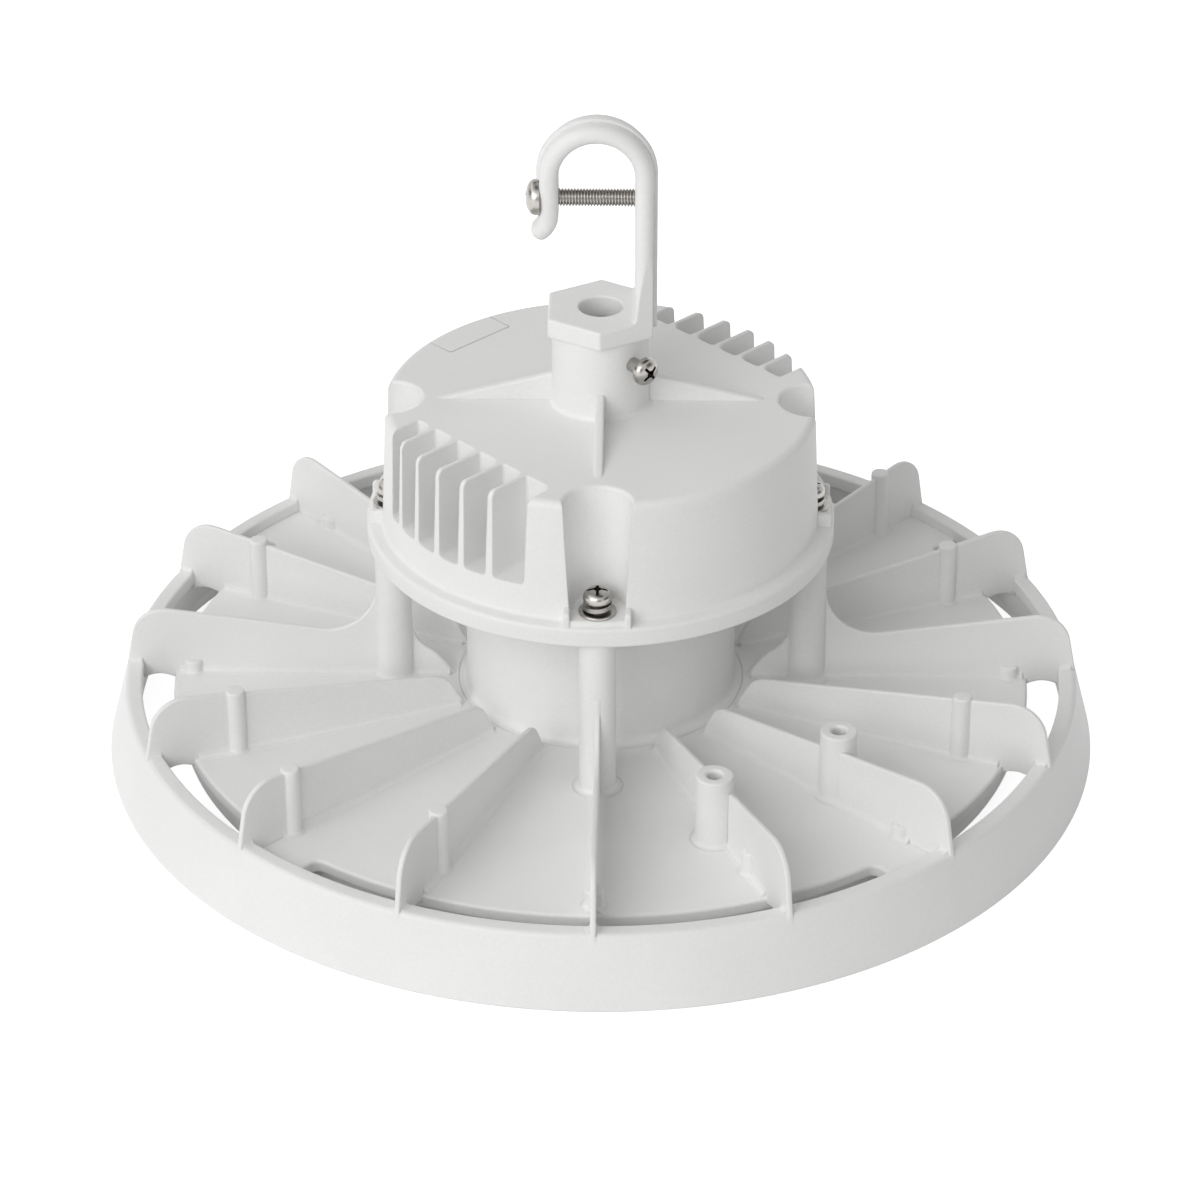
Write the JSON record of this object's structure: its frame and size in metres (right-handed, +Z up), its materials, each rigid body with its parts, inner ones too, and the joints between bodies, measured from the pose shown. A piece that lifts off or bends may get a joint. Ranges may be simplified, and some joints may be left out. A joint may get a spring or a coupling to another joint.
{
  "type": "high bay light",
  "caption": "Round white high bay light with a finned heat sink, a driver housing on pillars, a cast hook with a closing screw and a round lens below.",
  "frame": {"origin": "centre of the skirt ring's bottom edge, on which the light can stand", "axes": "+Z up along the main axis towards the hook, the front towards -Y, the hook in the XZ plane with its mouth towards -X"},
  "size_m": [0.34, 0.34, 0.2324],
  "materials": {
    "white_coat": "satin powder coat",
    "stainless": "stainless steel",
    "lid_metal": "plain cut sheet",
    "silicone": "grey silicone",
    "driver_case": "moulded",
    "lead_sleeve": "insulation",
    "board_mask": "white solder mask on an aluminium board",
    "chip_phosphor": "phosphor",
    "clear_lens": "clear polycarbonate"
  },
  "bodies": {
    "root": {"heat_sink": "white_coat", "driver_housing": "white_coat", "top_blank_plate": "white_coat", "hook": "white_coat", "hook_screw": "stainless", "lock_screw": "stainless", "clamp_screw_front": "stainless", "clamp_screw_right": "stainless", "clamp_screw_back": "stainless", "clamp_screw_left": "stainless", "flat_washers": "stainless", "spring_washers": "stainless", "driver_lid": "lid_metal", "lid_screws": "stainless", "lid_seal": "silicone", "neck_seal": "silicone", "driver_module": "driver_case", "driver_screws": "stainless", "lid_grommet": "silicone", "plate_grommet": "silicone", "board_leads": "lead_sleeve", "cable_seal": "silicone", "led_board": "board_mask", "led_chips": "chip_phosphor", "lens": "clear_lens", "lens_seal": "silicone", "lens_retainer": "white_coat", "retainer_screws": "stainless"}
  },
  "joints": []
}
